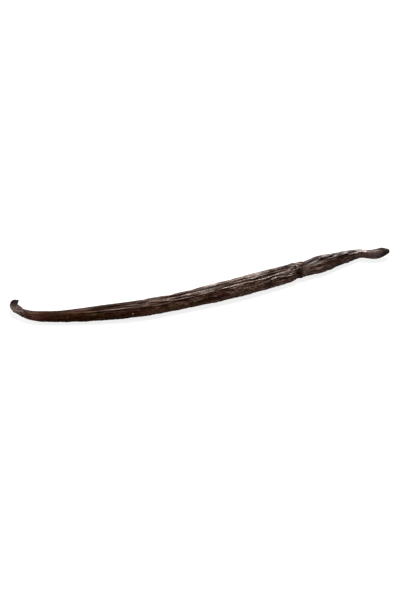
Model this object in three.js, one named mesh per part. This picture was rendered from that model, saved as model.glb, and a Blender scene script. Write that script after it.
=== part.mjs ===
// A cured vanilla pod lying on a table, in millimetres, with +Z up.
// The pod is one solid. Its stem end is a hook with a dished cut face, its body is flattened, furrowed
// lengthwise and pinched once, and its blossom end is a thin neck and a small bulb with a scar.
// The origin is on the table under the middle of the pod, and +X runs from the stem to the blossom end.
import * as THREE from "three";
import { mergeVertices } from "three/addons/utils/BufferGeometryUtils.js";

// ---- Driving dimensions -------------------------------------------------------------------------
// Lengths along the pod are measured on its centreline, from inside the stem's cut to the blossom scar.
// Angles round it are in degrees: 0 faces the near side (-Y), 90 is the top, 180 the far side.

const POD_LENGTH = 165;

// The way that the centreline points in plan, in degrees from +X.
const HEADINGS = [
  { at: 0, heading: -114 }, // the hook
  { at: 4, heading: -70 },
  { at: 9, heading: -35.5 },
  { at: 15, heading: -17 },
  { at: 20, heading: -11 }, // the long, slow bend of the body
  { at: 30, heading: -7 },
  { at: 37, heading: -4 },
  { at: 46, heading: -4.5 },
  { at: 60, heading: 3 },
  { at: 85, heading: 7.5 },
  { at: 110, heading: 12 },
  { at: 135, heading: 13.5 },
  { at: 147, heading: 12.5 },
  { at: 152, heading: -2 }, // the kink of the neck
  { at: 156, heading: -22 },
  { at: 160, heading: -3 },
  { at: 165, heading: 7 },
];

// The section along the pod: its plan width, its height, and its centre's height over the table.
const SECTIONS = [
  { at: -0.3, width: 2.9, height: 2.9, centre: 3.1 },
  { at: 0.8, width: 3.15, height: 3.2, centre: 3.0 }, // the stem's flared lip
  { at: 4, width: 3.2, height: 3.2, centre: 2.8 },
  { at: 8, width: 3.15, height: 3.1, centre: 2.45 },
  { at: 16.5, width: 4.4, height: 3.85, centre: 2.15 },
  { at: 32, width: 5.65, height: 4.7, centre: 2.2 },
  { at: 45, width: 6.95, height: 5.55, centre: 2.6 },
  { at: 59, width: 7.5, height: 6.1, centre: 2.9 },
  { at: 73, width: 7.5, height: 6.1, centre: 2.95 },
  { at: 91, width: 8.5, height: 6.9, centre: 3.3 },
  { at: 111, width: 8.4, height: 6.8, centre: 3.3 },
  { at: 124.5, width: 7.5, height: 6.05, centre: 2.95 },
  { at: 129, width: 7.2, height: 5.9, centre: 2.95 },
  { at: 134, width: 8.0, height: 6.45, centre: 3.15 },
  { at: 142, width: 6.4, height: 5.45, centre: 2.8 },
  { at: 149, width: 4.6, height: 4.05, centre: 2.6 },
  { at: 153, width: 3.4, height: 3.2, centre: 2.6 }, // the neck
  { at: 156, width: 3.55, height: 3.35, centre: 2.65 },
  { at: 159.5, width: 4.1, height: 3.8, centre: 2.95 }, // the bulb
  { at: 162.5, width: 3.6, height: 3.5, centre: 3.2 },
  { at: 165, width: 1.5, height: 1.5, centre: 3.4 },
];

// The long furrows: each one's depth and its path, as places along the pod and angles round it. Where
// the wall nearer to angle 0 is wider than the other one, lower is how many times wider it is. A depth
// below zero is a ridge.
const FURROWS = [
  { depth: 0.3, path: [[30, 96], [42, 93], [52, 91], [62, 83]] },
  { depth: 0.3, path: [[60, 86], [70, 89], [76, 97], [82, 92], [94, 91]] },
  { depth: 0.34, path: [[65, 66], [73, 67], [82, 62]] },
  { depth: 0.34, lower: 4, path: [[66, 50], [77, 50], [82, 40], [87, 48], [98, 51]] },
  { depth: 0.42, path: [[88, 76], [95, 74], [99, 67], [106, 66], [113, 71], [122, 84]] },
  { depth: 0.34, lower: 3.5, path: [[94, 48], [103, 52], [109, 46]] },
  { depth: 0.45, lower: 1.8, path: [[104, 46], [109, 45], [112, 54], [115, 46], [121, 46]] },
  { depth: -0.22, path: [[104, 33], [110, 35], [112.5, 43], [115, 35], [125, 35]] },
  { depth: 0.36, lower: 1.5, path: [[108, 22], [121, 24]] },
  { depth: 0.26, lower: 1.5, path: [[74, 14], [93, 14]] },
  { depth: 0.45, path: [[92, 90], [104, 90], [112, 90], [122, 88]] },
  { depth: 0.4, path: [[123, 84], [130, 91], [137, 108]] },
  { depth: 0.6, path: [[129, 70], [135, 76], [139, 83], [144, 100]] },
  { depth: 0.45, path: [[141, 54], [145, 60], [147, 63], [150, 72], [154, 95]] },
  { depth: 0.3, lower: 1.5, path: [[138, 50], [146, 44], [151, 44], [155, 50]] },
  { depth: 0.16, path: [[24, -8], [112, -12]] },
  { depth: 0.36, path: [[86, 112], [124, 106]] },
  { depth: 0.38, path: [[20, 118], [86, 122]] },
  { depth: 0.34, path: [[128, 126], [150, 130]] },
  { depth: 0.38, path: [[15, 148], [94, 154]] },
  { depth: 0.42, path: [[88, 146], [152, 140]] },
  { depth: 0.42, path: [[18, 178], [120, 172]] },
  { depth: 0.42, path: [[30, 204], [150, 208]] },
  { depth: 0.38, path: [[14, 234], [104, 230]] },
  { depth: 0.4, path: [[96, 240], [150, 246]] },
  { depth: 0.36, path: [[40, 290], [148, 294]] },
  { depth: 0.34, path: [[16, 322], [130, 316]] },
];
const FURROW_HALF_WIDTH = 0.43;
const FURROW_RUN_IN = 6; // the length that a furrow takes to reach its depth, and to end
const FURROW_SWAY = 1.8; // degrees to each side
const SHORT_SWAY = 0.4; // the shorter waves' height, as a part of the long ones'
const SWAY_LENGTH = 13;
const SHORT_SWAY_LENGTH = 5;
const GOLDEN_ANGLE = 137.5; // sets one furrow's sway apart from the next one's
const SHORT_SWAY_SHIFT = 2.6; // and its shorter waves apart from its long ones
const RIDGE_RISE = 0.12; // the skin between furrows stands this much higher

// The three valves of the fruit make the section slightly three-sided.
const VALVE_SWELL = 0.03;
const VALVE_TWIST = 0.9; // degrees for each millimetre

// One slanting fold pinches the body.
const FOLD = { at: 124.4, slant: 2.65, firstAngle: -44, halfLength: 1.5, depth: 0.36 };

// Dents in the skin, and bumps, whose depth is below zero.
const DENTS = [
  { at: 0.2, angle: 15, halfLength: 1.2, halfWidth: 1.2, depth: 0.45 }, // the cut's chamfered corner
  { at: 5.9, angle: 125, halfLength: 1.6, halfWidth: 1.2, depth: -0.35 }, // inside the hook's bend
  { at: 7.2, angle: -35, halfLength: 2.4, halfWidth: 1.6, depth: 0.35 },
  { at: 34, angle: 125, halfLength: 7, halfWidth: 2.2, depth: -0.25 },
  { at: 122.3, angle: 30, halfLength: 1.0, halfWidth: 1.5, depth: 0.8 }, // the pit beside the fold
  { at: 122.4, angle: -20, halfLength: 0.9, halfWidth: 1.8, depth: 0.3 },
  { at: 126, angle: -45, halfLength: 3.6, halfWidth: 1.8, depth: 0.5 },
  { at: 122, angle: 114, halfLength: 1.8, halfWidth: 1.5, depth: -0.55 },
  { at: 141.5, angle: -45, halfLength: 2.5, halfWidth: 1.8, depth: 0.45 },
  { at: 152.5, angle: 112, halfLength: 1.6, halfWidth: 1.2, depth: -0.22 },
  { at: 161.6, angle: 104, halfLength: 1.5, halfWidth: 1.3, depth: -0.26 }, // the bump on the bulb
  { at: 162.3, angle: -25, halfLength: 1.6, halfWidth: 1.5, depth: 0.3 },
];

// The stem is cut on a slant: its face leans back by this much of the height over the face's middle, and
// by this much of the distance towards the near side.
const CUT_SLANT = 0.84;
const CUT_SKEW = 0.5;
const CUT_FADE = 5; // the length along the stem over which the slant fades away

// The cut face of the stem and the scar of the blossom end are dished inside a rounded lip.
// Each ring's depth is a part of the end's radius, and its fill is a part of the section.
const DISH = [
  { depth: 0.45, fill: 0 },
  { depth: 0.38, fill: 0.4 },
  { depth: 0.08, fill: 0.72 },
  { depth: 0, fill: 0.88 },
  { depth: 0.1, fill: 0.97 },
];

// The mesh: sides round the section, the longest and shortest steps between its rings, and how far the
// skin's outermost rings are inside the ends.
const SIDES = 64;
const LONG_STEP = 2.6;
const SHORT_STEP = 1.2;
const FIRST_RING = 0.5;
const LAST_RING = 0.4;
const SAME_POINT = 1e-3; // points this close are joined
const FINE_PLACES = [
  { at: 5, reach: 12 }, // the hook
  { at: 123.5, reach: 6 }, // the fold
  { at: 158, reach: 9 }, // the neck and the bulb
];

// ---- Small helpers ------------------------------------------------------------------------------

const radians = THREE.MathUtils.degToRad;

// From 0 to 1, level at both ends, as x goes from 0 to 1.
function ease(x) {
  const t = THREE.MathUtils.clamp(x, 0, 1);
  return t * t * (3 - 2 * t);
}

// A bell of height 1 at x = 0.
function bell(x) {
  return Math.exp(-x * x);
}

// The turn from one angle to another, in degrees, from -180 to 180.
function turnBetween(from, to) {
  return THREE.MathUtils.euclideanModulo(to - from + 180, 360) - 180;
}

// The smooth curve through one column of a table, at a distance s along the pod.
function along(table, column, distance) {
  const last = table.length - 1;
  const s = THREE.MathUtils.clamp(distance, table[0].at, table[last].at);
  const slope = (i) => {
    const before = table[Math.max(i - 1, 0)];
    const after = table[Math.min(i + 1, last)];
    return (after[column] - before[column]) / (after.at - before.at);
  };
  const next = table.findIndex(({ at }) => at >= s);
  const i = THREE.MathUtils.clamp(next - 1, 0, last - 1);
  const span = table[i + 1].at - table[i].at;
  const rise = table[i + 1][column] - table[i][column];
  const t = (s - table[i].at) / span;
  const bow = (slope(i) * span - rise) * (1 - t) - (slope(i + 1) * span - rise) * t;
  return table[i][column] + rise * t + bow * t * (1 - t);
}

// ---- The centreline -----------------------------------------------------------------------------

const WALK_STEP = 0.25;
const WALK_START = -4; // before the stem's cut face, which leans back past place 0

function heading(s) {
  return radians(along(HEADINGS, "heading", s));
}

// The plan positions of the centreline at even steps, found by walking along the heading.
function walkCentreline() {
  const points = [new THREE.Vector2()];
  for (let s = WALK_START + WALK_STEP / 2; s < POD_LENGTH; s += WALK_STEP) {
    const step = new THREE.Vector2(Math.cos(heading(s)), Math.sin(heading(s)));
    points.push(step.multiplyScalar(WALK_STEP).add(points.at(-1)));
  }
  return points;
}

const walked = walkCentreline();

function centreline(s) {
  const steps = (s - WALK_START) / WALK_STEP;
  const i = THREE.MathUtils.clamp(Math.floor(steps), 0, walked.length - 2);
  return walked[i].clone().lerp(walked[i + 1], Math.min(steps - i, 1));
}

// ---- The relief ---------------------------------------------------------------------------------

// A wave's height, from -1 to 1, where the wave of each furrow starts at a place of its own.
function wave(s, length, start) {
  return Math.sin(radians((360 * s) / length + GOLDEN_ANGLE * start));
}

// A furrow's angle: it eases from each place of its path to the next.
function furrowAngle(path, s) {
  const next = path.findIndex(([at]) => at >= s);
  const i = THREE.MathUtils.clamp(next - 1, 0, path.length - 2);
  const [[at, angle], [nextAt, nextAngle]] = [path[i], path[i + 1]];
  return THREE.MathUtils.lerp(angle, nextAngle, ease((s - at) / (nextAt - at)));
}

function furrowDepth(furrow, s, angle, radius) {
  const { depth, path, lower = 1 } = furrow;
  const [from, to] = [path.at(0)[0], path.at(-1)[0]];
  const runIn = ease((s - from) / FURROW_RUN_IN) * ease((to - s) / FURROW_RUN_IN);
  const shortWave = wave(s, SHORT_SWAY_LENGTH, SHORT_SWAY_SHIFT * from);
  const sway = FURROW_SWAY * (wave(s, SWAY_LENGTH, from) + SHORT_SWAY * shortWave);
  const off = radians(turnBetween(furrowAngle(path, s) + sway, angle)) * radius;
  const halfWidth = off < 0 ? FURROW_HALF_WIDTH * lower : FURROW_HALF_WIDTH;
  return depth * runIn * bell(off / halfWidth);
}

function foldDepth(s, angle) {
  const foldAt = FOLD.at - FOLD.slant * Math.cos(radians(angle - FOLD.firstAngle));
  return FOLD.depth * bell((s - foldAt) / FOLD.halfLength);
}

function dentDepth(dent, s, angle, radius) {
  const off = radians(turnBetween(dent.angle, angle)) * radius;
  return dent.depth * bell(off / dent.halfWidth) * bell((s - dent.at) / dent.halfLength);
}

// How far the skin stands out of the plain section at a place on it.
function relief(s, angle, radius) {
  const valves = VALVE_SWELL * radius * Math.cos(radians(3 * angle + VALVE_TWIST * s));
  const furrows = FURROWS.map((furrow) => furrowDepth(furrow, s, angle, radius));
  const dents = DENTS.map((dent) => dentDepth(dent, s, angle, radius));
  const depth = [...furrows, ...dents].reduce((a, b) => a + b) + foldDepth(s, angle);
  return RIDGE_RISE + valves - depth;
}

// ---- The surface --------------------------------------------------------------------------------

// A point of the skin, drawn in to a part of the section by fill for the end faces.
function skinPoint(s, angle, fill) {
  const width = along(SECTIONS, "width", s);
  const height = along(SECTIONS, "height", s);
  const radius = (width + height) / 4;
  const out = relief(s, angle, radius);
  const near = fill * (width / 2 + out) * Math.cos(radians(angle));
  const up = fill * (height / 2 + out) * Math.sin(radians(angle));
  const tilt = CUT_SLANT * Math.sin(radians(angle)) + CUT_SKEW * Math.cos(radians(angle));
  const leaned = s + tilt * radius * fill * ease(1 - (s - SECTIONS[0].at) / CUT_FADE);
  const middle = centreline(leaned);
  return new THREE.Vector3(
    middle.x + near * Math.sin(heading(leaned)),
    middle.y - near * Math.cos(heading(leaned)),
    Math.max(along(SECTIONS, "centre", s) + up, 0), // the soft pod lies flat on the table
  );
}

// Where the mesh's rings are: the stem's dish, the body, and the blossom end's dish.
function ringPlaces() {
  const [stem, blossom] = [SECTIONS.at(0), SECTIONS.at(-1)];
  const stemRings = DISH.map(({ depth, fill }) => ({ s: stem.at + (depth * stem.width) / 2, fill }));
  const body = [];
  for (let s = stem.at + FIRST_RING; s < POD_LENGTH - LAST_RING; ) {
    body.push({ s, fill: 1 });
    const fineness = FINE_PLACES.map(({ at, reach }) => bell((s - at) / reach));
    s += THREE.MathUtils.lerp(LONG_STEP, SHORT_STEP, Math.max(...fineness));
  }
  const blossomRings = DISH.map(({ depth, fill }) => ({
    s: POD_LENGTH - (depth * blossom.width) / 2,
    fill,
  }));
  return [...stemRings, ...body, ...blossomRings.reverse()];
}

// A sphere's mesh, moved ring by ring onto the skin, with the pod's middle over the origin.
function skinGeometry() {
  const rings = ringPlaces();
  const sphere = new THREE.SphereGeometry(1, SIDES, rings.length - 1);
  const position = sphere.getAttribute("position");
  rings.forEach(({ s, fill }, ring) => {
    for (let side = 0; side <= SIDES; side++) {
      const point = skinPoint(s, (360 * (side % SIDES)) / SIDES, fill);
      position.setXYZ(ring * (SIDES + 1) + side, point.x, point.y, point.z);
    }
  });
  sphere.deleteAttribute("normal");
  sphere.deleteAttribute("uv");
  const skin = mergeVertices(sphere, SAME_POINT);
  skin.computeBoundingBox();
  const middle = skin.boundingBox.getCenter(new THREE.Vector3());
  skin.translate(-middle.x, -middle.y, 0);
  skin.computeVertexNormals();
  return skin;
}

// ---- The pod ------------------------------------------------------------------------------------

const curedSkin = new THREE.MeshStandardMaterial({
  name: "cured_skin",
  color: new THREE.Color(0x2e1c14),
  roughness: 0.42,
  metalness: 0,
});

const pod = new THREE.Mesh(skinGeometry(), curedSkin);
pod.name = "pod";

const vanillaPod = new THREE.Group();
vanillaPod.add(pod);

export default vanillaPod;
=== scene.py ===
# The looks of a cured vanilla pod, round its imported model. Objects are in metres, with +Z up.
# Lengths named here are in millimetres, as in the model's source, and MM turns them into metres.
import math

import bpy
import numpy as np
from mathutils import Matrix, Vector, noise


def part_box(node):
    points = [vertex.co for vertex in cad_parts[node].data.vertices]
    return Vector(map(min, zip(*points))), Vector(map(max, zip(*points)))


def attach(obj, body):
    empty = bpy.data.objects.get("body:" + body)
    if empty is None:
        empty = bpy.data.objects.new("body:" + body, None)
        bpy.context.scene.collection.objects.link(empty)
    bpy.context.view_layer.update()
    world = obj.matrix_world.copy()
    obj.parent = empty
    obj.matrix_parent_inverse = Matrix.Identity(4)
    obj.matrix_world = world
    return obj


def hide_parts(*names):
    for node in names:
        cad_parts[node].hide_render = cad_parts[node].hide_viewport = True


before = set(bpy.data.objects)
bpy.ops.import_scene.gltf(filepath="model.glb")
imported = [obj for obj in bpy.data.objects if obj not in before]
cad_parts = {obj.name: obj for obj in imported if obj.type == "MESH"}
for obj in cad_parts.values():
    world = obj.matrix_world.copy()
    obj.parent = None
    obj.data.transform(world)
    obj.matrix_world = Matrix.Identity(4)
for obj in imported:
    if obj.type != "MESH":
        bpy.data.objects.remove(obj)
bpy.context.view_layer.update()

MM = 0.001

# ---- The form, as in the model's source -----------------------------------------------------------
# Lengths along the pod are measured on its centreline, from inside the stem's lip to the blossom scar.
# Angles round it are in degrees: 0 faces the near side (-Y), 90 is the top, 180 the far side.

POD_LENGTH = 165

# Where along the pod, and the way that the centreline points there in plan, in degrees from +X.
HEADINGS = np.array([
    (0, -114), (4, -70), (9, -35.5), (15, -17),  # the hook
    (20, -11), (30, -7), (37, -4), (46, -4.5), (60, 3),
    (85, 7.5), (110, 12), (135, 13.5), (147, 12.5),
    (152, -2), (156, -22), (160, -3), (165, 7),  # the kink of the neck
])

# Where along the pod, and the section's plan width, height, and centre's height over the table.
SECTIONS = np.array([
    (-0.3, 2.9, 2.9, 3.1),
    (0.8, 3.15, 3.2, 3.0),  # the stem's flared lip
    (4, 3.2, 3.2, 2.8),
    (8, 3.15, 3.1, 2.45),
    (16.5, 4.4, 3.85, 2.15),
    (32, 5.65, 4.7, 2.2),
    (45, 6.95, 5.55, 2.6),
    (59, 7.5, 6.1, 2.9),
    (73, 7.5, 6.1, 2.95),
    (91, 8.5, 6.9, 3.3),
    (111, 8.4, 6.8, 3.3),
    (124.5, 7.5, 6.05, 2.95),
    (129, 7.2, 5.9, 2.95),
    (134, 8.0, 6.45, 3.15),
    (142, 6.4, 5.45, 2.8),
    (149, 4.6, 4.05, 2.6),
    (153, 3.4, 3.2, 2.6),  # the neck
    (156, 3.55, 3.35, 2.65),
    (159.5, 4.1, 3.8, 2.95),  # the bulb
    (162.5, 3.6, 3.5, 3.2),
    (165, 1.5, 1.5, 3.4),
])

# The long furrows: each one's depth and half width, how many times wider its wall nearer to angle 0 is,
# and the places that it passes, along the pod and round it. A depth below zero is a ridge.
FURROWS = [
    (0.2, 0.35, 1, [(9, 55), (20, 48)]),
    (0.2, 0.35, 1, [(8, 30), (17, 20)]),
    (0.2, 0.32, 1, [(24, 80), (33, 76), (40, 72), (54, 70)]),
    (-0.18, 0.26, 1, [(24, 71), (32, 68), (40, 62), (54, 60)]),
    (0.24, 0.32, 1, [(34, 53), (46, 51), (54, 50)]),
    (0.3, 0.42, 1, [(30, 96), (42, 93), (52, 91), (62, 83)]),
    (0.2, 0.35, 3, [(52, 42), (58, 40), (63, 36), (70, 37)]),
    (0.3, 0.5, 1, [(60, 86), (70, 89), (76, 97), (82, 92), (94, 91)]),
    (0.34, 0.34, 1, [(65, 66), (73, 67), (82, 62)]),
    (0.34, 0.34, 4, [(66, 50), (77, 50), (82, 40), (87, 48), (98, 51)]),
    (0.42, 0.4, 1, [(88, 76), (95, 74), (99, 67), (106, 66), (113, 71), (122, 84)]),
    (0.34, 0.34, 3.5, [(94, 48), (103, 52), (109, 46)]),
    (0.45, 0.3, 1.8, [(104, 46), (109, 45), (112, 54), (115, 46), (121, 46)]),
    (-0.24, 0.32, 1, [(104, 33), (110, 35), (112.5, 43), (115, 35), (125, 35)]),
    (-0.22, 0.4, 1, [(126, 22), (132, 18), (138, 16)]),
    (0.45, 0.48, 1, [(92, 90), (104, 90), (112, 90), (122, 88)]),
    (0.36, 0.36, 1.5, [(108, 22), (121, 24)]),
    (0.26, 0.4, 1.5, [(74, 14), (93, 14)]),
    (0.4, 0.42, 1, [(123, 84), (130, 91), (137, 108)]),
    (0.6, 0.5, 1, [(129, 70), (135, 76), (139, 83), (144, 100)]),
    (0.45, 0.5, 1, [(141, 54), (145, 60), (147, 63), (150, 72), (154, 95)]),
    (0.3, 0.38, 1.5, [(138, 50), (146, 44), (151, 44), (155, 50)]),
    (0.24, 0.35, 1, [(84, 80), (92, 84), (99, 80)]),
    (-0.16, 0.32, 1, [(67, 77), (76, 78), (83, 74)]),
    (-0.2, 0.34, 1, [(98, 59), (108, 59), (120, 62)]),
    (-0.18, 0.3, 1, [(94, 80), (104, 78), (113, 80), (120, 84)]),
    (0.24, 0.35, 3, [(125, 50), (133, 38)]),
    (0.16, 0.42, 1, [(24, -8), (112, -12)]),
    (0.36, 0.42, 1, [(86, 112), (124, 106)]),
    (0.38, 0.42, 1, [(20, 118), (86, 122)]),
    (0.34, 0.42, 1, [(128, 126), (150, 130)]),
    (0.38, 0.42, 1, [(15, 148), (94, 154)]),
    (0.42, 0.42, 1, [(88, 146), (152, 140)]),
    (0.42, 0.42, 1, [(18, 178), (120, 172)]),
    (0.42, 0.42, 1, [(30, 204), (150, 208)]),
    (0.38, 0.42, 1, [(14, 234), (104, 230)]),
    (0.4, 0.42, 1, [(96, 240), (150, 246)]),
    (0.36, 0.42, 1, [(40, 290), (148, 294)]),
    (0.34, 0.42, 1, [(16, 322), (130, 316)]),
]
FURROW_RUN_IN = 6  # the length that a furrow takes to reach its depth, and to end
FURROW_SWAY = 1.8  # degrees to each side
SHORT_SWAY = 0.4  # the shorter waves' height, as a part of the long ones'
SWAY_LENGTH = 13
SHORT_SWAY_LENGTH = 5
GOLDEN_ANGLE = 137.5  # sets one furrow's sway apart from the next one's
SHORT_SWAY_SHIFT = 2.6  # and its shorter waves apart from its long ones
RIDGE_RISE = 0.1  # the skin between furrows stands this much higher

# The three valves of the fruit make the section slightly three-sided.
VALVES = 3
VALVE_SWELL = 0.03
VALVE_TWIST = 0.9  # degrees for each millimetre

# One slanting fold goes right round the pod.
FOLD_AT = 124.4
FOLD_SLANT = 2.65  # how far it swings to each side of that place
FOLD_FIRST_ANGLE = -44  # where it is nearest to the stem
FOLD_HALF_LENGTH = 1.5
FOLD_DEPTH = 0.36

# Dents in the skin: the place, the angle, the half length, the half width and the depth. A depth below
# zero is a bump.
DENTS = [
    (0.2, 15, 1.2, 1.2, 0.45),
    (5.9, 125, 1.6, 1.2, -0.35),
    (7.2, -35, 2.4, 1.6, 0.35),
    (34, 125, 7, 2.2, -0.25),
    (122.3, 30, 1.0, 1.5, 0.8),  # the pit beside the fold
    (122.4, -20, 0.9, 1.8, 0.3),
    (126, -45, 3.6, 1.8, 0.5),
    (122, 114, 1.8, 1.5, -0.55),
    (122.3, 128, 1.5, 1.2, 0.34),
    (126, 124, 1.1, 1.3, -0.3),
    (121.4, 83, 0.6, 0.45, 0.3),
    (124.5, 79, 0.5, 0.45, 0.12),
    (141.5, -45, 2.5, 1.8, 0.45),
    (152.5, 112, 1.6, 1.2, -0.22),
    (161.6, 104, 1.5, 1.3, -0.26),
    (162.3, -25, 1.6, 1.5, 0.3),
    (159.3, 92, 0.6, 0.9, 0.15),
    (163.4, 60, 0.7, 0.8, -0.18),
]

# The stem is cut on a slant: its face leans back by this much of the height over the face's middle, and
# by this much of the distance towards the near side.
CUT_SLANT = 0.84
CUT_SKEW = 0.5
CUT_FADE = 5  # the length along the stem over which the slant fades away

# The dished ends: parts of the way out from an end's middle, and the depth there as a part of its radius.
DISH = np.array([(0, 0.45), (0.4, 0.38), (0.72, 0.08), (0.88, 0), (0.97, 0.1)])

# ---- The fine mesh --------------------------------------------------------------------------------

SIDES = 160
DISH_RINGS = 14
FIRST_RING = 0.3  # how far inside the ends the skin's outermost rings are
LAST_RING = 0.5

# The step between rings at places along the pod. It is shorter on the hook and at the fold.
RING_STEPS = [
    (0, 0.16), (13, 0.18), (18, 0.3), (116, 0.32),
    (120, 0.2), (127, 0.2), (132, 0.32), (165, 0.26),
]

# Noise and spots are laid on the straightened pod, a rod of this radius.
STRAIGHT_RADIUS = 3.6

WALK_STEP = 0.25
WALK_START = -4  # before the stem's cut face, which leans back past place 0


# ---- Small helpers --------------------------------------------------------------------------------

def bell(x):
    """A bell of height 1 at x = 0."""
    return np.exp(-x * x)


def ease(x):
    """From 0 to 1, level at both ends, as x goes from 0 to 1."""
    t = np.clip(x, 0, 1)
    return t * t * (3 - 2 * t)


def turn_between(start, end):
    """The turn from one angle to another, from -180 to 180."""
    return (end - start + 180) % 360 - 180


def along(table, column, s):
    """The smooth curve through one column of a table whose first column is the place along the pod."""
    at, values = table[:, 0], table[:, column]
    last = len(at) - 1
    s = np.clip(s, at[0], at[-1])
    before, after = np.maximum(np.arange(last + 1) - 1, 0), np.minimum(np.arange(last + 1) + 1, last)
    slope = (values[after] - values[before]) / (at[after] - at[before])
    i = np.clip(np.searchsorted(at, s) - 1, 0, last - 1)
    span, rise = at[i + 1] - at[i], values[i + 1] - values[i]
    t = (s - at[i]) / span
    bow = (slope[i] * span - rise) * (1 - t) - (slope[i + 1] * span - rise) * t
    return values[i] + rise * t + bow * t * (1 - t)


def centreline(s):
    """The centreline's plan position, found by walking along its heading."""
    way = np.radians(along(HEADINGS, 1, np.arange(WALK_START + WALK_STEP / 2, POD_LENGTH, WALK_STEP)))
    at = WALK_START + np.arange(len(way) + 1) * WALK_STEP
    x = np.concatenate([[0], np.cumsum(np.cos(way)) * WALK_STEP])
    y = np.concatenate([[0], np.cumsum(np.sin(way)) * WALK_STEP])
    return np.interp(s, at, x), np.interp(s, at, y)


# ---- The large relief -----------------------------------------------------------------------------

def furrow_angle(places, s):
    """A furrow's angle: it eases from each place that it passes to the next."""
    at, angles = np.array(places, float).T
    i = np.clip(np.searchsorted(at, s) - 1, 0, len(at) - 2)
    return angles[i] + (angles[i + 1] - angles[i]) * ease((s - at[i]) / (at[i + 1] - at[i]))


def furrow_depth(s, angle, radius):
    """The depth of the long furrows together."""
    total = np.zeros(np.broadcast(s, angle).shape)
    for depth, half_width, lower, places in FURROWS:
        run_in = ease((s - places[0][0]) / FURROW_RUN_IN) * ease((places[-1][0] - s) / FURROW_RUN_IN)
        start = GOLDEN_ANGLE * places[0][0]
        long_wave = np.sin(np.radians(360 * s / SWAY_LENGTH + start))
        short_wave = np.sin(np.radians(360 * s / SHORT_SWAY_LENGTH + SHORT_SWAY_SHIFT * start))
        sway = FURROW_SWAY * (long_wave + SHORT_SWAY * short_wave)
        off = np.radians(turn_between(furrow_angle(places, s) + sway, angle)) * radius
        total += depth * run_in * bell(off / np.where(off < 0, half_width * lower, half_width))
    return total


def pinch_depth(s, angle, radius):
    """The depth of the fold and the dents together."""
    fold_at = FOLD_AT - FOLD_SLANT * np.cos(np.radians(angle - FOLD_FIRST_ANGLE))
    total = FOLD_DEPTH * bell((s - fold_at) / FOLD_HALF_LENGTH)
    for place, middle, half_length, half_width, depth in DENTS:
        off = np.radians(turn_between(middle, angle)) * radius
        total += depth * bell(off / half_width) * bell((s - place) / half_length)
    return total


# ---- The fine relief ------------------------------------------------------------------------------

# How wrinkled the skin is at places along the pod, from 0 to 1.
WRINKLED = [
    (0, 0.3), (12, 0.3), (50, 0.4), (66, 1), (118, 1),
    (146, 0.9), (152, 0.3), (158, 0.15), (165, 0.1),
]

# The near face is taut, from TAUT_FIRST_ANGLE up to these angles at places along the pod. It fades at its
# edges over some degrees, and at its ends over some millimetres.
TAUT_EDGE = [
    (18, 50), (52, 50), (62, 38), (66, 46), (78, 56), (84, 62), (91, 60),
    (97, 44), (106, 28), (120, 20), (124, 34), (130, 52), (140, 52), (150, 44),
]
TAUT_EDGE_FADE = 14
TAUT_FIRST_ANGLE, TAUT_FIRST_FADE = -80, 25
TAUT_START, TAUT_START_FADE = 14, 8
TAUT_END, TAUT_END_FADE = 154, 6
TAUT_CALM = 0.8  # the part of the wrinkles that taut skin lacks

# The fields of noise in the relief: the length of their features along the pod, their width round it, and
# a seed for each field.
DRIFT = (16, 3, 1)
RIB_STRENGTH = (10, 1.6, 7)
WIDE_CREASES = (20, 1.8, 2)
NARROW_CREASES = (9, 0.9, 3)
LUMPS = (6, 2.2, 4)
SHORT_LINES = (0.7, 3.2, 8)
LONG_LINES = (2.0, 3, 9)
LONG_PITS = (1.1, 3.2, 5)
SHORT_PITS = (0.45, 2.2, 6)
FOLD_KNOBS = (0.9, 0.7, 10)
NECK_KNOBS = (0.8, 1.1, 11)
SEED_STEP = 17.3  # how far along the noise one seed is from the next one
SEED_SIDESTEP = 5.1

# Wrinkled skin has narrow ribs and creases, which wander together by up to this many degrees. A crease
# reaches to where its noise has its edge's value.
DRIFT_ANGLE = 11
RIBS = 19  # as many go round the pod
RIB_DEPTH = 0.36
RIB_VARIETY = 1.3  # how strongly they come and go
WIDE_CREASE_DEPTH, WIDE_CREASE_EDGE = 0.3, 0.1
NARROW_CREASE_DEPTH, NARROW_CREASE_EDGE = 0.12, 0.14
WRINKLE_RISE = 0.06  # wrinkled skin stands this much higher between its valleys

# Lumps are on all of the skin, and lower where it is smooth.
LUMP_HEIGHT = 0.18
LEAST_LUMPS = 0.4  # as a part of that height

# Taut skin has low oblique lines, which slant by this much for each degree.
LINE_SLANT = 0.057
SHORT_LINE_HEIGHT = 0.15
LONG_LINE_HEIGHT = 0.14

# The hook's skin is pitted.
PITTED_END, PITTED_FADE = 14, 5
LONG_PIT_DEPTH = 0.13
SHORT_PIT_DEPTH = 0.16

# Knobbly places: the place, the half length, the height and the field.
KNOBS = [
    (124, 4, 0.2, FOLD_KNOBS),
    (153.5, 3, 0.05, NECK_KNOBS),
]


def field(s, angle, kind):
    """Smooth noise from -1 to 1 over the skin, drawn out along the pod, with no seam round it."""
    length, width, seed = kind
    turn = np.radians(angle)
    ring = STRAIGHT_RADIUS / width
    points = np.stack(np.broadcast_arrays(
        s / length + SEED_STEP * seed,
        ring * np.cos(turn) + SEED_SIDESTEP * seed,
        ring * np.sin(turn)), axis=-1)
    flat = [noise.noise(p) for p in points.reshape(-1, 3)]
    return np.array(flat).reshape(points.shape[:-1])


def creases(s, angle, kind, edge):
    """Valleys from 0 to 1 along the lines where a field of noise is zero."""
    return bell(field(s, angle, kind) / edge)


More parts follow.
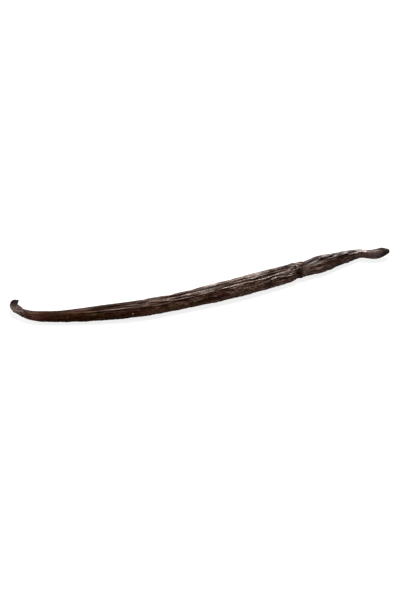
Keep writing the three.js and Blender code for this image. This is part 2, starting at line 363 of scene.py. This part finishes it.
def wrinkling(s, angle):
    """How wrinkled the skin is and how taut it is, from 0 to 1."""
    body = np.interp(s, *zip(*WRINKLED))
    a = turn_between(0, angle)
    edge = np.interp(s, *zip(*TAUT_EDGE))
    taut = ease((edge - a) / TAUT_EDGE_FADE) * ease((a - TAUT_FIRST_ANGLE) / TAUT_FIRST_FADE)
    taut = taut * ease((s - TAUT_START) / TAUT_START_FADE) * ease((TAUT_END - s) / TAUT_END_FADE)
    return body * (1 - TAUT_CALM * taut), taut


def fine_relief(s, angle):
    """How far the fine relief stands out of the skin."""
    wrinkled, taut = wrinkling(s, angle)
    drifted = angle + DRIFT_ANGLE * field(s, angle, DRIFT)
    strength = ease(0.5 + RIB_VARIETY * field(s, angle, RIB_STRENGTH))
    ribs = RIB_DEPTH * strength * (1 - np.abs(np.sin(np.radians(RIBS / 2 * drifted))))
    wide = WIDE_CREASE_DEPTH * creases(s, drifted, WIDE_CREASES, WIDE_CREASE_EDGE)
    narrow = NARROW_CREASE_DEPTH * creases(s, drifted, NARROW_CREASES, NARROW_CREASE_EDGE)
    wrinkles = wrinkled * (WRINKLE_RISE - ribs - wide - narrow)
    lumps = LUMP_HEIGHT * field(s, angle, LUMPS) * (LEAST_LUMPS + (1 - LEAST_LUMPS) * wrinkled)
    slanted = s + LINE_SLANT * turn_between(0, angle)
    lines = SHORT_LINE_HEIGHT * field(slanted, angle, SHORT_LINES)
    lines = taut * (lines + LONG_LINE_HEIGHT * field(slanted, angle, LONG_LINES))
    knobs = sum(height * bell((s - place) / half_length) * field(s, angle, kind)
                for place, half_length, height, kind in KNOBS)
    pits = LONG_PIT_DEPTH * field(s, angle, LONG_PITS) + SHORT_PIT_DEPTH * field(s, angle, SHORT_PITS)
    return wrinkles + lumps + lines + knobs + ease((PITTED_END - s) / PITTED_FADE) * pits


# ---- The pod's mesh -------------------------------------------------------------------------------

def skin(s, angle, fill):
    """The skin's points in millimetres, its points on the straightened pod, and its relief."""
    width, height = along(SECTIONS, 1, s), along(SECTIONS, 2, s)
    radius = (width + height) / 4
    cos, sin = np.cos(np.radians(angle)), np.sin(np.radians(angle))
    valves = VALVE_SWELL * radius * np.cos(np.radians(VALVES * angle + VALVE_TWIST * s))
    pinch = pinch_depth(s, angle, radius)
    relief = RIDGE_RISE - furrow_depth(s, angle, radius) + fine_relief(s, angle)
    out = valves + relief - pinch
    near = fill * (width / 2 + out) * cos
    up = fill * (height / 2 + out) * sin
    lean = (CUT_SLANT * sin + CUT_SKEW * cos) * radius * fill * ease(1 - (s - SECTIONS[0, 0]) / CUT_FADE)
    way = np.radians(along(HEADINGS, 1, s + lean))
    x, y = centreline(s + lean)
    z = np.maximum(along(SECTIONS, 3, s) + up, 0)
    bent = np.stack([x + near * np.sin(way), y - near * np.cos(way), z], axis=-1)
    straight = np.stack(np.broadcast_arrays(
        s, fill * STRAIGHT_RADIUS * cos, fill * STRAIGHT_RADIUS * sin), axis=-1)
    return bent, straight, relief - pinch


def ring_places():
    """Each ring's place along the pod and its fill of the section, from the stem's dish to the scar's."""
    fill = np.linspace(0, DISH[-1, 0], DISH_RINGS)
    depth = np.interp(fill, DISH[:, 0], DISH[:, 1])
    stem, blossom = SECTIONS[0, 1] / 2, SECTIONS[-1, 1] / 2
    body = [SECTIONS[0, 0] + FIRST_RING]
    while body[-1] < POD_LENGTH - LAST_RING:
        body.append(body[-1] + np.interp(body[-1], *zip(*RING_STEPS)))
    s = np.concatenate([SECTIONS[0, 0] + depth * stem, body, (POD_LENGTH - depth * blossom)[::-1]])
    return s, np.concatenate([fill, np.ones(len(body)), fill[::-1]])


def make_pod():
    """The pod's mesh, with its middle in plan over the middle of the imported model."""
    s, fill = ring_places()
    angle = np.arange(SIDES) * 360 / SIDES
    bent, straight, relief = skin(s[:, None], angle[None, :], fill[:, None])
    relief = np.broadcast_to(relief, bent.shape[:2])

    # The first and the last ring are points, at the middle of the end faces.
    def with_ends(grid):
        return np.concatenate([grid[:1, 0], grid[1:-1].reshape(-1, *grid.shape[2:]), grid[-1:, 0]])

    points, straight, relief = with_ends(bent), with_ends(straight), with_ends(relief)
    rings = len(s) - 2
    ring, side = np.meshgrid(np.arange(rings - 1), np.arange(SIDES), indexing="ij")
    near, far = 1 + ring * SIDES, 1 + (ring + 1) * SIDES
    after = (side + 1) % SIDES
    quads = np.stack([near + side, near + after, far + after, far + side], axis=-1).reshape(-1, 4)
    turn, last = np.arange(SIDES), len(points) - 1
    first_ring, last_ring = 1 + turn, 1 + (rings - 1) * SIDES + turn
    stem_fan = np.stack([np.zeros(SIDES, int), np.roll(first_ring, -1), first_ring], axis=-1)
    blossom_fan = np.stack([np.full(SIDES, last), last_ring, np.roll(last_ring, -1)], axis=-1)

    low, high = (np.array(corner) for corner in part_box("pod"))
    middle = (points.min(0) + points.max(0)) / 2
    points = points * MM + np.array([*((low + high) / 2 - middle * MM)[:2], 0])

    mesh = bpy.data.meshes.new("pod_skin")
    mesh.from_pydata(points.tolist(), [], quads.tolist() + stem_fan.tolist() + blossom_fan.tolist())
    mesh.shade_smooth()
    mesh.attributes.new("straight", "FLOAT_VECTOR", "POINT").data.foreach_set("vector", straight.ravel())
    mesh.attributes.new("relief", "FLOAT", "POINT").data.foreach_set("value", relief.ravel())
    pod = bpy.data.objects.new("pod_skin", mesh)
    bpy.context.scene.collection.objects.link(pod)
    return pod


# ---- Material nodes -------------------------------------------------------------------------------

# The values between which nearly all of a noise node's output is.
USUAL_NOISE = (0.3, 0.7)

# A spot fades out between these distances from its middle, as parts of its half length and half width.
SPOT_CORE, SPOT_EDGE = 0.55, 1.25
RAGGEDNESS = 0.25  # how far its edge wanders to each side


class Nodes:
    """A material's node tree, with short calls that add a node and set or link its inputs."""

    def __init__(self, name):
        self.material = bpy.data.materials.new(name)
        self.material.use_nodes = True
        self.tree = self.material.node_tree
        self.shader = self.tree.nodes["Principled BSDF"]

    def add(self, kind, inputs=None, **settings):
        node = self.tree.nodes.new(kind)
        for name, value in settings.items():
            setattr(node, name, value)
        for name, value in (inputs or {}).items():
            self.set(node, name, value)
        return node

    def set(self, node, name, value):
        if isinstance(value, bpy.types.NodeSocket):
            self.tree.links.new(value, node.inputs[name])
        else:
            node.inputs[name].default_value = value

    def math(self, operation, a, b):
        return self.add("ShaderNodeMath", {0: a, 1: b}, operation=operation).outputs[0]

    def product(self, a, b):
        return self.math("MULTIPLY", a, b)

    def remap(self, value, low, high, new_low=0.0, new_high=1.0):
        node = self.add("ShaderNodeMapRange", {"Value": value, "From Min": low, "From Max": high,
                                               "To Min": new_low, "To Max": new_high})
        return node.outputs["Result"]

    def spread(self, value, least, most):
        """A noise's usual values, drawn out to go from the least to the most."""
        return self.remap(value, *USUAL_NOISE, least, most)

    def mix(self, factor, a, b, blend="MIX", data="RGBA"):
        node = self.add("ShaderNodeMix", data_type=data, blend_type=blend)
        # The node's sockets for colours and for numbers have the same names, so they go by their order.
        first, second, result = (6, 7, 2) if data == "RGBA" else (2, 3, 0)
        self.set(node, 0, factor)
        self.set(node, first, a)
        self.set(node, second, b)
        return node.outputs[result]

    def noise(self, vector, scale, detail=3.0, roughness=0.55):
        node = self.add("ShaderNodeTexNoise", {"Vector": vector, "Scale": scale, "Detail": detail,
                                               "Roughness": roughness})
        return node.outputs["Fac"]

    def pattern(self, straight, length, width, slant=0, **settings):
        """Noise on the straightened pod, with features of this length and width, slanted in degrees."""
        inputs = {"Vector": straight, "Scale": (length, width, width),
                  "Rotation": (0, math.radians(slant), 0)}
        stretched = self.add("ShaderNodeMapping", inputs, vector_type="TEXTURE").outputs["Vector"]
        return self.noise(stretched, 1.0, **settings)

    def spot(self, straight, place, angle, length, width, ragged):
        """A mask from 0 to 1 that is 1 in the middle of an oval spot on the straightened pod."""
        a = math.radians(angle)
        middle = (place, STRAIGHT_RADIUS * math.cos(a), STRAIGHT_RADIUS * math.sin(a))
        off = self.add("ShaderNodeVectorMath", {0: straight, 1: middle}, operation="SUBTRACT").outputs[0]
        size = (1 / length, 1 / width, 1 / width)
        scaled = self.add("ShaderNodeVectorMath", {0: off, 1: size}, operation="MULTIPLY").outputs[0]
        far = self.add("ShaderNodeVectorMath", {0: scaled}, operation="LENGTH").outputs["Value"]
        return self.remap(self.math("ADD", far, ragged), SPOT_EDGE, SPOT_CORE)

    def ramp(self, value, stops):
        node = self.add("ShaderNodeValToRGB", {"Fac": value})
        elements = node.color_ramp.elements
        while len(elements) < len(stops):
            elements.new(1.0)
        for element, (position, color) in zip(elements, stops):
            element.position = position
            element.color = color
        return node.outputs["Color"]


def grey(value):
    return (value, value, value, 1)


def srgb(code):
    """A colour written as a web colour, such as "2e1c14", in the linear values that Blender takes."""
    parts = [int(code[i:i + 2], 16) / 255 for i in (0, 2, 4)]
    return (*(p / 12.92 if p <= 0.04045 else ((p + 0.055) / 1.055) ** 2.4 for p in parts), 1.0)


# ---- The skin's material --------------------------------------------------------------------------

# The skin's colour at places along the pod. From the stem half to the blossom end it grows lighter, partly
# in its own colour and partly as painted light that brightens towards the blossom end.
TONES = [
    (0, "0e0b0a"),
    (2.2, "1a1413"),
    (4.2, "483b35"),
    (7.5, "453732"),
    (11, "352119"),
    (16, "280f06"),
    (20, "200c01"),
    (46, "1c0a02"),
    (56, "28120a"),
    (66, "341e12"),
    (80, "3b291e"),
    (95, "3e2c23"),
    (115, "45342d"),
    (122, "41322a"),
    (126, "41322b"),
    (135, "33241d"),
    (148, "372923"),
    (154, "43302a"),
    (160, "3d302e"),
    (163.2, "1c1c16"),
]

# How rough the skin is, how strongly it shines, and the tint of its shine.
ROUGHNESS = [
    (0, 0.5), (12, 0.45), (20, 0.46), (50, 0.44), (66, 0.32),
    (120, 0.3), (148, 0.26), (158, 0.28), (165, 0.5),
]
SHINE = [
    (0, 0.08), (10, 0.14), (18, 0.04), (42, 0.08), (54, 0.16), (66, 0.28),
    (96, 0.34), (120, 0.34), (146, 0.46), (157, 0.5), (160, 0.3), (164, 0.1),
]
SHINE_TINTS = [
    (0, (1, 0.84, 0.8, 1)),
    (96, (1, 0.81, 0.75, 1)),
    (112, (1, 0.85, 0.8, 1)),
    (132, (1, 0.96, 0.94, 1)),
    (145, (1, 0.95, 0.94, 1)),
    (152, (1, 0.88, 0.86, 1)),
]

# How much the colour varies, from 0 to 1.
VARIETY = [(0, 1), (12, 0.9), (18, 0.6), (50, 0.6), (64, 0.8), (100, 1)]

# The patterns on the skin: the size, slant, detail and roughness of each one's noise. Slants are in degrees.
PATTERNS = {
    "patches": {"length": 7, "width": 1.6},
    "casts": {"length": 3.5, "width": 1.1},
    "streaks": {"length": 4, "width": 0.3, "detail": 4},
    "fibres": {"length": 2.2, "width": 0.5, "slant": -8, "detail": 4, "roughness": 0.7},
    "mottle": {"length": 0.9, "width": 0.8},
    "slanted": {"length": 3.5, "width": 0.45, "slant": 50, "detail": 4},
    "grain": {"length": 0.5, "width": 0.22, "detail": 2},
}

# The casts over the tones: the pattern, its values where the cast starts and where it is full, the cast's
# strength, and its colour.
CASTS = [
    ("patches", 0.45, 0.75, 0.6, "4c3424"),
    ("patches", 0.5, 0.25, 0.6, "2a0e06"),
    ("casts", 0.55, 0.75, 0.45, "463c22"),
    ("casts", 0.45, 0.25, 0.45, "4a2c30"),
]

# The patterns that darken and lighten the skin, and how many times lighter they make it, at the least and
# at the most.
SHADES = [
    ("streaks", 0.4, 1.5),
    ("mottle", 0.5, 1.6),
    ("slanted", 0.45, 1.7),
    ("fibres", 0.25, 2.0),
]

# The light places are greyer: how light the shades make the skin, and how many times purer its colour is.
DARK_SHADE, DARK_PURITY = 0.4, 1.25
LIGHT_SHADE, LIGHT_PURITY = 2.2, 0.65

# How much patches change the shine, and streaks the roughness.
PATCH_SHINE = (0.6, 1.3)
STREAK_ROUGHNESS = (-0.04, 0.06)

# Valleys are darker, partly in their own colour and partly by painted shade, and rougher and duller than
# crests. These are the relief of each, in millimetres.
VALLEY, CREST = -0.3, 0.05
VALLEY_TONE_AND_SHADE = (0.36, 0.24, 0.19, 1.0)
VALLEY_ROUGHNESS = 0.16
VALLEY_SHINE = 0.35

# The near side is duller, from one distance in front of the straightened pod's middle to the other.
NEAR_START, NEAR_END = 1.9, 2.8
NEAR_SHINE = 0.3

# The finest lines and pores are in the material alone.
LINE_BUMP = {"Strength": 0.6, "Distance": 0.09 * MM}
PORE_BUMP = {"Strength": 0.4, "Distance": 0.02 * MM}

# Oily and dull places: the place, the angle, the half length, the half width, and how many times stronger
# the shine is.
SHEEN = [
    (2.6, 105, 3.4, 3.4, 0.15),
    (45, 62, 5, 0.7, 1.2),
    (73.5, 77, 6, 0.9, 1.6),
    (84, 68, 3.0, 1.6, 0.45),
    (86, 104, 4, 1.0, 2),
    (91.5, 64, 5, 0.9, 2),
    (102.5, 78, 6, 1.0, 2.4),
    (104, 104, 6, 1.1, 2.2),
    (106.3, 103, 2.4, 1.1, 2.6),
    (93.5, 104, 4, 1.1, 1.3),
    (113, 62, 7, 1.0, 3.2),
    (116, 37, 5.5, 0.9, 6),
    (131.5, 22, 2.2, 0.8, 2),
    (121.6, 100, 1.6, 1.2, 0.45),
    (124.3, 66, 1.3, 0.9, 2.4),
    (124.2, 92, 0.8, 0.8, 1.8),
    (130.6, 78, 2.2, 0.7, 2.0),
    (132.3, 58, 2.0, 0.8, 0.4),
    (127.5, 52, 4, 1.8, 0.4),
    (138.5, 68, 1.5, 0.6, 1.8),
    (137, 104, 2.4, 1.1, 2.6),
    (138.5, 99, 3.5, 1.4, 4),
    (143.5, 90, 4, 1.4, 4.2),
    (139.5, 66, 2.0, 0.45, 2.6),
    (144.5, 77, 2.4, 0.45, 1.7),
    (152.4, 74, 0.4, 0.9, 1.5),
    (154.1, 80, 0.35, 0.9, 1.5),
    (147, 90, 2.6, 1.6, 2.8),
    (148.5, 70, 2.0, 1.0, 1.5),
    (149.6, 59, 2.6, 1.1, 4),
    (153.6, 92, 1.7, 2.2, 1.2),
    (154.5, 42, 3.5, 1.4, 0.2),
    (153.4, 71, 1.5, 0.9, 1.7),
    (157.2, 88, 1.5, 2.4, 0.6),
    (160, 88, 0.8, 1.2, 1.8),
    (161.4, 98, 1.7, 2.4, 0.1),
]

# Spots on the skin, among them painted shade in furrows and pits, and painted highlights and reflections:
# the place, the angle, the half length, the half width, the colour, its strength, and how many times
# stronger the shine is.
SPOTS_AND_PAINTED_SHADING = [
    # The hook's dark top, in this row and in the row at place 7 and angle 105, is painted shade.
    (3, 108, 2.6, 2.6, "1e1418", 0.75, 0.3),  # the hook
    (1.5, 40, 1.6, 1.6, "3a3426", 0.6, 0.5),
    # Painted reflections on the hook's left flank, in the next two rows.
    (3.6, 30, 1.8, 1.2, "6a5c50", 0.6, 1),
    (6.2, 28, 1.8, 1.6, "7a6a64", 0.6, 1),
    (5.6, 86, 1.0, 0.6, "6a5e62", 0.7, 1),
    (4.6, 80, 0.7, 0.6, "1a1018", 0.8, 0.3),
    (8.6, 70, 0.6, 0.5, "7c7478", 0.8, 1),
    (9.6, 78, 0.6, 0.6, "221618", 0.8, 0.3),
    (12.2, 55, 1.6, 0.3, "1c0c0a", 0.8, 0.3),
    (12.6, 40, 1.8, 0.3, "6c5248", 0.7, 1),
    # Painted shade on the top of the hook.
    (7, 105, 3.5, 1.8, "33282c", 0.5, 0.6),
    (14.5, 22, 2.4, 2.2, "5a3230", 0.3, 0.6),
    # A painted purple sheen along the top edge, in the next row.
    (32, 104, 5, 1.4, "5c3f42", 0.3, 1),  # the body
    # Painted highlight along a thin ridge, in the next three rows.
    (30, 70, 5, 0.4, "4a3018", 0.6, 0.6),
    (36, 65, 3, 0.35, "60463a", 0.6, 1),
    (45.5, 62, 6, 0.35, "826a5c", 0.65, 1),
    # Painted shade in the wrinkles round that ridge, in the next three rows.
    (43, 88, 5, 0.5, "140804", 0.6, 0.3),
    (36, 82, 4, 0.5, "140803", 0.6, 0.3),
    (48, 52, 5, 0.5, "140808", 0.6, 0.3),
    # Painted light on the underside, which lies in shade, in the next row.
    (61, -8, 9, 1.6, "503a2e", 0.4, 1),
    (61, 45, 1.5, 0.6, "54302a", 0.45, 0.6),
    # Painted shade in a furrow, in the next row.
    (56.3, 86, 2.4, 0.6, "120606", 0.8, 0.15),
    (57.5, 58, 1.6, 0.8, "5c4a3a", 0.6, 1),
    (58, 40, 2.6, 0.5, "1c0a04", 0.7, 0.3),
    (62.5, 68, 3.0, 0.6, "4e3218", 0.5, 0.6),
    (64.5, 43, 2.5, 0.5, "2a1002", 0.7, 0.3),
    (67.6, 63, 1.8, 0.9, "5a4a34", 0.5, 1),
    (67.5, 22, 1.8, 2.4, "36301a", 0.6, 0.6),
    (84.5, 72, 2.6, 1.2, "28241a", 0.6, 0.8),
    # Painted shade in a furrow, in the next two rows.
    (84.5, 92, 6, 0.5, "0c0503", 0.9, 0.1),
    (78.5, 92, 2, 0.4, "140a06", 0.8, 0.15),
    (90, 47, 2.5, 0.7, "32150c", 0.6, 0.3),
    (108.5, 14, 2.6, 1.2, "1c0c06", 0.8, 0.3),
    (111.6, 99, 1.4, 1.3, "2c2420", 0.9, 0.1),
    (117.6, 101, 3.4, 1.2, "3a2a2c", 0.5, 0.45),  # round the fold
    # Painted shade in the pit beside the fold, in the next row.
    (121.8, 82, 0.8, 0.5, "0c0605", 0.95, 0.05),
    (123.4, 92, 0.5, 0.4, "1c100c", 0.8, 0.2),
    (121.6, 101, 0.9, 0.8, "3a2c2a", 0.5, 0.5),
    (119.4, 109, 2.4, 0.8, "161210", 0.85, 0.2),
    (119.8, 89, 1.7, 0.35, "1a100e", 0.75, 0.25),
    (126, 118, 1.4, 0.9, "140c0a", 0.85, 0.2),
    (124.6, 100, 1.8, 0.45, "8c786c", 0.5, 1.2),
    (122, 70, 0.5, 0.4, "241814", 0.7, 0.3),
    (123.8, 68, 0.4, 0.4, "241814", 0.7, 0.3),
    # Painted shade in a small dent, in the next row.
    (124.9, 79, 0.5, 0.4, "0c0605", 0.9, 0.1),
    (126.4, 82, 0.5, 0.5, "1c100c", 0.8, 0.2),
    (118.6, 92, 0.6, 0.5, "241814", 0.7, 0.3),
    (116.4, 94, 0.5, 0.6, "241418", 0.7, 0.3),
    (114.8, 98, 0.4, 0.6, "241418", 0.7, 0.3),
    (126, 22, 1.8, 1.6, "54463e", 0.35, 1),  # the second swelling and the neck
    # A painted highlight on a ridge, in the next row.
    (131.6, 20, 1.6, 0.7, "7c6a60", 0.65, 1),
    (131, 96, 3.5, 1.3, "241a20", 0.8, 0.3),
    # Painted shade along a furrow, in the next three rows.
    (134.8, 77, 2.4, 0.5, "160e10", 0.8, 0.15),
    (139, 84, 1.0, 0.5, "0c0606", 0.95, 0.05),
    (141, 93, 1.4, 0.5, "120c0c", 0.8, 0.1),
    # Painted shade at a furrow's end, in the next row.
    (132, 38, 1.4, 0.6, "160804", 0.8, 0.3),
    (137, 48, 2.0, 1.0, "160c08", 0.75, 0.3),
    (138, 34, 3, 1.0, "2c1e16", 0.6, 0.3),
    (143.8, 60, 3.0, 1.1, "281e20", 0.65, 0.35),
    # Painted shade in a furrow, in the next row.
    (146, 67, 1.0, 0.6, "080404", 0.9, 0.1),
    (148, 52, 1.2, 0.5, "1c0e0a", 0.6, 0.5),
    (141.5, 52, 0.8, 0.7, "120a0c", 0.6, 0.5),
    # Painted shade along a furrow, in the next two rows.
    (147.6, 79, 0.6, 0.45, "120a0c", 0.7, 0.3),
    (149.4, 84, 0.35, 0.8, "120a0c", 0.8, 0.2),
    (151, 88, 0.4, 0.6, "2a1a1c", 0.7, 0.3),
    (153.3, 70, 0.3, 0.7, "5a443c", 0.5, 0.4),
    (156.2, 76, 0.35, 0.8, "4a3a38", 0.5, 0.4),
    (116, 22, 3.5, 0.6, "2c1208", 0.7, 0.3),  # the near face
    (104, 32, 3, 1.2, "4a322c", 0.5, 0.6),
    (78.4, 12, 2.0, 0.6, "1c1006", 0.4, 0.5),
    (83.6, 17, 1.8, 0.8, "201006", 0.5, 0.5),
    (89, 18, 2.5, 1.4, "2c1010", 0.6, 0.3),
    (82, 10, 3, 1.2, "241408", 0.3, 0.5),
    (150, 46, 1.6, 0.8, "2a120c", 0.6, 0.4),
    (148.5, 36, 2.2, 1.0, "241812", 0.45, 0.4),
    (142, 40, 3.5, 1.2, "241610", 0.65, 0.5),
    (148.5, 8, 2.2, 1.4, "1e1610", 0.35, 0.6),
    (154, 20, 2.6, 2.2, "543e34", 0.5, 1),
    (153.8, 47, 2.2, 0.8, "2c2226", 0.7, 0.6),
    (159.5, 8, 3, 1.0, "241a1e", 0.4, 0.4),  # the bulb
    (159, 40, 2.4, 1.6, "42363a", 0.6, 1),
    (161.4, 98, 1.5, 2.4, "241f1c", 0.95, 0.3),
    (51.9, 16, 0.22, 0.22, "d8c8b8", 0.9, 1),  # pale specks
    (57.9, 72, 0.26, 0.2, "c8b098", 0.5, 1),
    (66.5, 74, 0.22, 0.2, "c8b098", 0.5, 1),
]


def cured_skin():
    n = Nodes("cured_skin")
    straight = n.add("ShaderNodeAttribute", attribute_name="straight").outputs["Vector"]
    relief = n.add("ShaderNodeAttribute", attribute_name="relief").outputs["Fac"]
    split = n.add("ShaderNodeSeparateXYZ", {"Vector": straight})
    place = n.math("DIVIDE", split.outputs["X"], POD_LENGTH)
    patterns = {name: n.pattern(straight, **settings) for name, settings in PATTERNS.items()}
    ragged = n.remap(patterns["grain"], 0.0, 1.0, -RAGGEDNESS, RAGGEDNESS)

    def by_place(table, color=grey):
        return n.ramp(place, [(at / POD_LENGTH, color(value)) for at, value in table])

    variety = by_place(VARIETY)
    color = by_place(TONES, srgb)
    for name, start, full, strength, code in CASTS:
        cast = n.remap(patterns[name], start, full, 0.0, strength)
        color = n.mix(n.product(cast, variety), color, srgb(code))

    light = 1.0
    for name, least, most in SHADES:
        shade = n.spread(patterns[name], least, most)
        light = n.product(light, n.mix(variety, 1.0, shade, data="FLOAT"))
    purity = n.remap(light, DARK_SHADE, LIGHT_SHADE, DARK_PURITY, LIGHT_PURITY)
    inputs = {"Saturation": purity, "Value": light, "Color": color}
    color = n.add("ShaderNodeHueSaturation", inputs).outputs["Color"]

    shine = n.product(by_place(SHINE), n.spread(patterns["patches"], *PATCH_SHINE))
    # Each spot's colour goes over the skin: stains and specks, and also painted shade and painted
    # highlights.
    for *spot, code, strength, times in SPOTS_AND_PAINTED_SHADING:
        mask = n.spot(straight, *spot, ragged)
        shine = n.product(shine, n.remap(mask, 0.0, 1.0, 1.0, times))
        color = n.mix(n.product(mask, strength), color, srgb(code))
    # Painted shade darkens the valleys, over their own darker colour.
    crest = n.remap(relief, VALLEY, CREST)
    color = n.mix(crest, n.mix(1.0, color, VALLEY_TONE_AND_SHADE, "MULTIPLY"), color)
    n.set(n.shader, "Base Color", color)

    rough = n.math("ADD", by_place(ROUGHNESS), n.spread(patterns["streaks"], *STREAK_ROUGHNESS))
    rough = n.math("ADD", rough, n.remap(crest, 0.0, 1.0, VALLEY_ROUGHNESS, 0.0))
    n.set(n.shader, "Roughness", rough)

    shine = n.product(shine, n.remap(crest, 0.0, 1.0, VALLEY_SHINE, 1.0))
    for *spot, times in SHEEN:
        mask = n.spot(straight, *spot, ragged)
        shine = n.product(shine, n.remap(mask, 0.0, 1.0, 1.0, times))
    shine = n.product(shine, n.remap(split.outputs["Y"], NEAR_START, NEAR_END, 1.0, NEAR_SHINE))
    n.set(n.shader, "Specular IOR Level", shine)
    n.set(n.shader, "Specular Tint", by_place(SHINE_TINTS, tuple))

    lines = n.add("ShaderNodeBump", {**LINE_BUMP, "Height": patterns["streaks"]})
    pores = n.add("ShaderNodeBump", {**PORE_BUMP, "Height": patterns["grain"],
                                     "Normal": lines.outputs["Normal"]})
    n.set(n.shader, "Normal", pores.outputs["Normal"])
    return n.material


# ---- Camera, floor and light ----------------------------------------------------------------------

CAMERA_AIM = (-3.49, -4.05, 0)  # the place on the table in the middle of the view
CAMERA_AZIMUTH = -12
CAMERA_ELEVATION = 40
CAMERA_DISTANCE = 572
LENS = 85
SENSOR = 36
NEAREST = 10  # nothing closer than this to the camera is seen

FLOOR_LENGTH = 6000
FLOOR_TONES = (0.2, 0.2, 0.2, 1), (0.21, 0.21, 0.21, 1)
FLOOR_MOTTLE = 40.0  # features for each metre
FLOOR_GLOW = 0.85  # keeps the floor nearly white
WORLD_LIGHT = 0.12


def direction(azimuth, elevation):
    """The unit vector towards a place seen from the pod: azimuth 0 is the near side, 90 is +X."""
    a, e = math.radians(azimuth), math.radians(elevation)
    return Vector((math.sin(a) * math.cos(e), -math.cos(a) * math.cos(e), math.sin(e)))


def look_from(thing, aim, azimuth, elevation, distance):
    """Puts a camera or a light into the scene, at a distance from its aim and turned towards it."""
    way = direction(azimuth, elevation)
    thing.location = (Vector(aim) + way * distance) * MM
    thing.rotation_euler = way.to_track_quat("Z", "Y").to_euler()
    bpy.context.scene.collection.objects.link(thing)


def make_camera():
    data = bpy.data.cameras.new("camera")
    data.lens = LENS
    data.sensor_fit = "VERTICAL"
    data.sensor_height = SENSOR
    data.clip_start = NEAREST * MM
    camera = bpy.data.objects.new("camera", data)
    look_from(camera, CAMERA_AIM, CAMERA_AZIMUTH, CAMERA_ELEVATION, CAMERA_DISTANCE)
    bpy.context.scene.camera = camera


def floor_paper():
    n = Nodes("floor_paper")
    where = n.add("ShaderNodeNewGeometry").outputs["Position"]
    mottle = n.spread(n.noise(where, FLOOR_MOTTLE), 0.0, 1.0)
    n.set(n.shader, "Base Color", n.mix(mottle, *FLOOR_TONES))
    n.set(n.shader, "Roughness", 0.9)
    n.set(n.shader, "Specular IOR Level", 0.1)
    n.set(n.shader, "Emission Color", grey(1))
    n.set(n.shader, "Emission Strength", FLOOR_GLOW)
    return n.material


def make_floor():
    mesh = bpy.data.meshes.new("floor")
    half = FLOOR_LENGTH / 2 * MM
    corners = [(-half, -half, 0), (half, -half, 0), (half, half, 0), (-half, half, 0)]
    mesh.from_pydata(corners, [], [(0, 1, 2, 3)])
    mesh.materials.append(floor_paper())
    floor = bpy.data.objects.new("floor", mesh)
    bpy.context.scene.collection.objects.link(floor)
    floor.visible_glossy = False  # its reflection would wash out the oily skin


def make_light(name, azimuth, elevation, distance, size, watts):
    """A square light over the pod. Its distance and size are in millimetres."""
    data = bpy.data.lights.new(name, "AREA")
    data.size = size * MM
    data.energy = watts
    look_from(bpy.data.objects.new(name, data), (0, 0, 0), azimuth, elevation, distance)


def make_world():
    world = bpy.data.worlds.new("studio")
    world.use_nodes = True
    background = world.node_tree.nodes["Background"]
    background.inputs["Color"].default_value = grey(1)
    background.inputs["Strength"].default_value = WORLD_LIGHT
    bpy.context.scene.world = world


# ---- The scene ------------------------------------------------------------------------------------

make_camera()
make_floor()
make_world()
make_light("softbox", azimuth=145, elevation=70, distance=700, size=200, watts=9)
make_light("left_softbox", azimuth=-100, elevation=14, distance=600, size=400, watts=2.4)
make_light("back_softbox", azimuth=168, elevation=26, distance=700, size=400, watts=1.5)

pod = make_pod()
pod.data.materials.append(cured_skin())
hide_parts("pod")
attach(pod, "root")

bpy.context.scene.view_settings.view_transform = "Standard"
